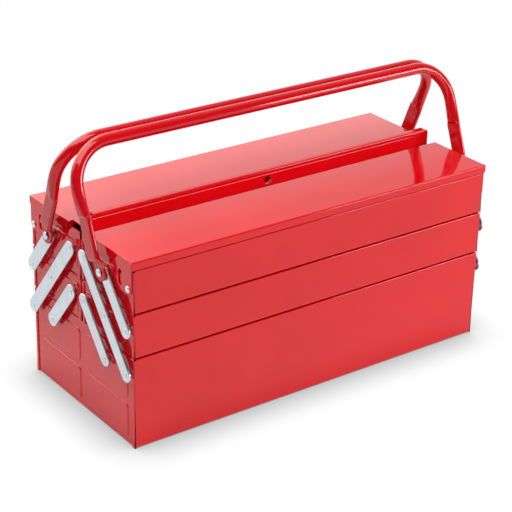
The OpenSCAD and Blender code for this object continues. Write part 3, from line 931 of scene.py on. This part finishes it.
# name of a link, name of its body, its end pivots and the pivots between them
LINKS = (
    (
        "long_arm", "long_arms", (COLUMNS[2], ROWS[0]), (COLUMNS[0], ROWS[2]),
        ((COLUMNS[1], ROWS[1]),),
    ),
    ("short_arm", "short_arms", (COLUMNS[1], ROWS[0]), (COLUMNS[0], ROWS[1]), ()),
    ("upper_link", "upper_links", (COLUMNS[2], ROWS[1]), (COLUMNS[1], ROWS[2]), ()),
)
# name of a tray, its foot, its outer and inner rim and the crest of its end panels
TRAYS = (
    ("middle", MID_Z, MID_RIM, MID_RIM, None),
    ("top", TOP_Z, TOP_RIM, TOP_RIM - INNER_DROP, CREST_Z),
)


def place(name, body, shape, material, sy=1, sx=1, nodes=(), **how):
    """Builds a piece, mirrored as asked, on its body; it stands in for the named CAD nodes."""
    obj = build(name, body, shape.mirrored(sx, sy), material, **how)
    if nodes:
        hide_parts(*nodes)
    return obj


def place_half(depth, sy):
    """The trays, rivets, links and handle of the front or the back half."""
    for tray, foot, rim, inner_rim, crest in TRAYS:
        body = f"{depth}_{tray}_tray"
        place(
            f"{depth}_{tray}_folded_shell", body, tray_shell(foot, rim, inner_rim), RED, sy,
            nodes=[f"{depth}_{tray}_tray"], **FOLDED,
        )
        for side, sx in SIDES:
            place(
                f"{depth}_{tray}_{side}_stamped_end", body, tray_end(foot, rim, crest), RED,
                sy, sx, nodes=[f"{depth}_{tray}_{side}_end"], **FOLDED,
            )
    place(
        f"{depth}_middle_rivet_set", f"{depth}_middle_tray", both_ends(middle_rivets), ZINC, sy,
        nodes=[f"{depth}_middle_rivets"], **PLATED,
    )
    place(
        f"{depth}_top_rivet_set", f"{depth}_top_tray", both_ends(top_rivets), RIVET, sy,
        nodes=[f"{depth}_top_rivets"], **PLATED,
    )
    for side, sx in SIDES:
        for kind, bodies, p, q, mids in LINKS:
            place(
                f"{depth}_{side}_{kind}_plate", f"{depth}_{bodies}", link(p, q, mids), ZINC,
                sy, sx, nodes=[f"{depth}_{side}_{kind}"], **PLATED,
            )
    place(
        f"{depth}_tube_handle", f"{depth}_handle", handle(), RED_TUBE_SHADED, sy,
        nodes=[f"{depth}_handle"],
    )


place("base_folded_shell", "base", base_shell(), RED, nodes=["base_shell"], **FOLDED)
for side, sx in SIDES:
    place(
        f"base_{side}_stamped_end", "base", base_end(), RED, sx=sx,
        nodes=[f"base_{side}_end"], **FOLDED,
    )
place("base_rivets", "base", both_ends(base_rivets), ZINC, nodes=["base_pivot_rivets"], **PLATED)
place_half("front", -1)
place_half("back", 1)
place("front_folded_lid", "front_lid", front_lid(), RED, -1, nodes=["front_lid"], **FOLDED)
hasp = place(
    "front_hasp_plate", "front_lid", hasp_plate(), RED, -1, nodes=["front_lid_hasp_plate"],
    sheet=HASP_SHEET, edge=RIDGE_EDGE,
)
place("back_folded_lid", "back_lid", back_lid(), RED, nodes=["back_lid"], **FOLDED)
place("back_lid_end_tongues", "back_lid", both_ends(end_tongue), RED, **FOLDED)
ridge = place(
    "back_hasp_channel", "back_lid", channel(), RED, nodes=["back_lid_channel"],
    sheet=SHEET, edge=RIDGE_EDGE,
)
for piece in (hasp, ridge):
    piece.visible_glossy = False  # the photograph shows no reflection of them in the lids

# ---- camera, from the photograph's viewing angle ----


def camera():
    azimuth, elevation, roll = -0.6418, 0.4392, 0.0257
    distance, target, lens = 1.7812, Vector((0, 0, 0.0934)), 115.67
    shift_right, shift_up = -0.00627, 0.01941
    right = Vector((math.cos(azimuth), math.sin(azimuth), 0))
    level = math.cos(elevation)
    back = Vector(
        (math.sin(azimuth) * level, -math.cos(azimuth) * level, math.sin(elevation))
    )
    up = back.cross(right)
    rolled_right = right * math.cos(roll) + up * math.sin(roll)
    rolled_up = up * math.cos(roll) - right * math.sin(roll)
    data = bpy.data.cameras.new("camera")
    data.lens = lens
    data.sensor_width = 36.0
    data.clip_start = 0.05
    cam = bpy.data.objects.new("camera", data)
    bpy.context.scene.collection.objects.link(cam)
    place_at = target + back * distance + rolled_right * shift_right + rolled_up * shift_up
    axes = Matrix((rolled_right, rolled_up, back)).transposed()
    cam.matrix_world = Matrix.Translation(place_at) @ axes.to_4x4()
    bpy.context.scene.camera = cam


camera()

# ---- studio, in metres ----

FLOOR_REACH = 6.0
SHADOW_REACH = 0.052  # of the soft shadow painted on the floor round the box, from ambient occlusion
SHADOW_DARK, SHADOW_END = 0.12, 0.97  # its darkest tone, and how open the floor is at its end
BACK_WALL = (0.45, 0.85, 0.0)  # direction of the studio's pale back wall
WALL_SPAN = (-0.1, 0.75)  # from the dim front to the full wall, as dot products with it
DIM, BRIGHT = 0.08, 0.85
SKY, SKY_SPAN, SKY_BRIGHT = (-0.20, 0.72, 0.66), (0.72, 1.0), 3.4  # patch that reflections see
CARD_Y, CARD_X, CARD_Z = 0.6, (-0.6, 1.7), (0.3, 0.62)  # the glowing card behind the box, which only reflections see
CARD_FADE, CARD_BRIGHT = (0.42, 0.57), 1.2  # heights from full to none


def maths(tree, operation, *values):
    node = tree.nodes.new("ShaderNodeMath")
    node.operation = operation
    for value, socket in zip(values, node.inputs):
        tree.links.new(value, socket)
    return node.outputs[0]


def floor_material():
    """Pale floor. The camera and reflections see it as white emission, with a soft shadow painted
    round the box from ambient occlusion.
    """
    mat = bpy.data.materials.new("pale_floor")
    mat.use_nodes = True
    tree = mat.node_tree
    bsdf = tree.nodes["Principled BSDF"]
    bsdf.inputs["Base Color"].default_value = (0.85, 0.85, 0.85, 1)
    bsdf.inputs["Roughness"].default_value = 0.9
    bsdf.inputs["Specular IOR Level"].default_value = 0.1
    near = tree.nodes.new("ShaderNodeAmbientOcclusion")
    near.inputs["Distance"].default_value = SHADOW_REACH
    near.samples = 16
    ramp = tree.nodes.new("ShaderNodeValToRGB")
    dark, open_floor = ramp.color_ramp.elements
    dark.color = (SHADOW_DARK, SHADOW_DARK, SHADOW_DARK, 1)
    open_floor.color = (1, 1, 1, 1)
    open_floor.position = SHADOW_END
    tree.links.new(near.outputs["AO"], ramp.inputs["Fac"])
    # Emission that the camera and reflections see: white, with the painted shadow of the ramp
    # near the box.
    painted_glow = tree.nodes.new("ShaderNodeEmission")
    tree.links.new(ramp.outputs["Color"], painted_glow.inputs["Color"])
    path = tree.nodes.new("ShaderNodeLightPath")
    seen = maths(tree, "MAXIMUM", path.outputs["Is Camera Ray"], path.outputs["Is Glossy Ray"])
    mix = tree.nodes.new("ShaderNodeMixShader")
    tree.links.new(seen, mix.inputs["Fac"])
    tree.links.new(bsdf.outputs[0], mix.inputs[1])
    tree.links.new(painted_glow.outputs[0], mix.inputs[2])
    out = tree.nodes["Material Output"]
    tree.links.new(mix.outputs[0], out.inputs["Surface"])
    return mat


def facing(tree, coord, direction):
    """Dot product of the ray's direction with the given one."""
    node = tree.nodes.new("ShaderNodeVectorMath")
    node.operation = "DOT_PRODUCT"
    node.inputs[1].default_value = direction
    tree.links.new(coord.outputs["Generated"], node.inputs[0])
    return node.outputs["Value"]


def studio_world():
    """White to the camera; for light and reflections a pale back wall and a dimmer front, and
    for reflections alone a bright patch of sky."""
    world = bpy.data.worlds.new("studio")
    world.use_nodes = True
    tree = world.node_tree
    background = tree.nodes["Background"]
    background.inputs["Color"].default_value = (1, 1, 1, 1)
    coord = tree.nodes.new("ShaderNodeTexCoord")
    wall = between(tree, facing(tree, coord, BACK_WALL), DIM, BRIGHT, *WALL_SPAN)
    sky = between(tree, facing(tree, coord, SKY), 0, SKY_BRIGHT, *SKY_SPAN)
    path = tree.nodes.new("ShaderNodeLightPath")
    strength = tree.nodes.new("ShaderNodeMix")
    tree.links.new(path.outputs["Is Camera Ray"], strength.inputs["Factor"])
    around = maths(tree, "MULTIPLY_ADD", path.outputs["Is Glossy Ray"], sky, wall)
    tree.links.new(around, strength.inputs["A"])
    strength.inputs["B"].default_value = 1.0
    tree.links.new(strength.outputs["Result"], background.inputs["Strength"])
    bpy.context.scene.world = world


def card_material():
    """Card behind the box that glows, though it is no lamp: only reflections see it, brightest
    low down, as painted highlights.
    """
    mat = bpy.data.materials.new("glossy_glow_card")
    mat.use_nodes = True
    tree = mat.node_tree
    tree.nodes.clear()
    coord = tree.nodes.new("ShaderNodeTexCoord")
    parts = tree.nodes.new("ShaderNodeSeparateXYZ")
    tree.links.new(coord.outputs["Object"], parts.inputs[0])
    fade = between(tree, parts.outputs["Z"], CARD_BRIGHT, 0, *CARD_FADE)
    path = tree.nodes.new("ShaderNodeLightPath")
    painted_glow = tree.nodes.new("ShaderNodeEmission")
    # The card's glow, for glossy rays alone: painted highlights in the box's reflections.
    seen = maths(tree, "MULTIPLY", path.outputs["Is Glossy Ray"], fade)
    tree.links.new(seen, painted_glow.inputs["Strength"])
    clear = tree.nodes.new("ShaderNodeBsdfTransparent")
    both = tree.nodes.new("ShaderNodeAddShader")
    tree.links.new(clear.outputs[0], both.inputs[0])
    tree.links.new(painted_glow.outputs[0], both.inputs[1])
    out = tree.nodes.new("ShaderNodeOutputMaterial")
    tree.links.new(both.outputs[0], out.inputs["Surface"])
    return mat


def studio_sheet(name, points, material):
    """A flat sheet of the studio, with four corners."""
    mesh = bpy.data.meshes.new(name)
    mesh.from_pydata(points, [], [(0, 1, 2, 3)])
    obj = bpy.data.objects.new(name, mesh)
    bpy.context.scene.collection.objects.link(obj)
    mesh.materials.append(material)
    return obj


def light(name, at, aim, size, power):
    """Softbox: where it stands, where it points, its width and height, its watts."""
    data = bpy.data.lights.new(name, "AREA")
    data.shape = "RECTANGLE"
    data.size, data.size_y = size
    data.energy = power
    obj = bpy.data.objects.new(name, data)
    bpy.context.scene.collection.objects.link(obj)
    obj.location = at
    obj.rotation_euler = (Vector(aim) - Vector(at)).to_track_quat("-Z", "Y").to_euler()


far = FLOOR_REACH
ground = studio_sheet(
    "floor", [(-far, -far, 0), (far, -far, 0), (far, far, 0), (-far, far, 0)], floor_material()
)
studio_world()
(xa, xb), (za, zb) = CARD_X, CARD_Z
card = studio_sheet(
    "glossy_glow_card",
    [(xa, CARD_Y, za), (xb, CARD_Y, za), (xb, CARD_Y, zb), (xa, CARD_Y, zb)],
    card_material(),
)
light("top_softbox", (-0.48, -0.2, 1.35), (0, 0, 0.2), (1.3, 0.9), 14.2)
light("front_softbox", (1.25, -1.15, 0.34), (0.15, 0, 0.12), (0.8, 0.55), 13.5)

bpy.context.scene.view_settings.view_transform = "Standard"
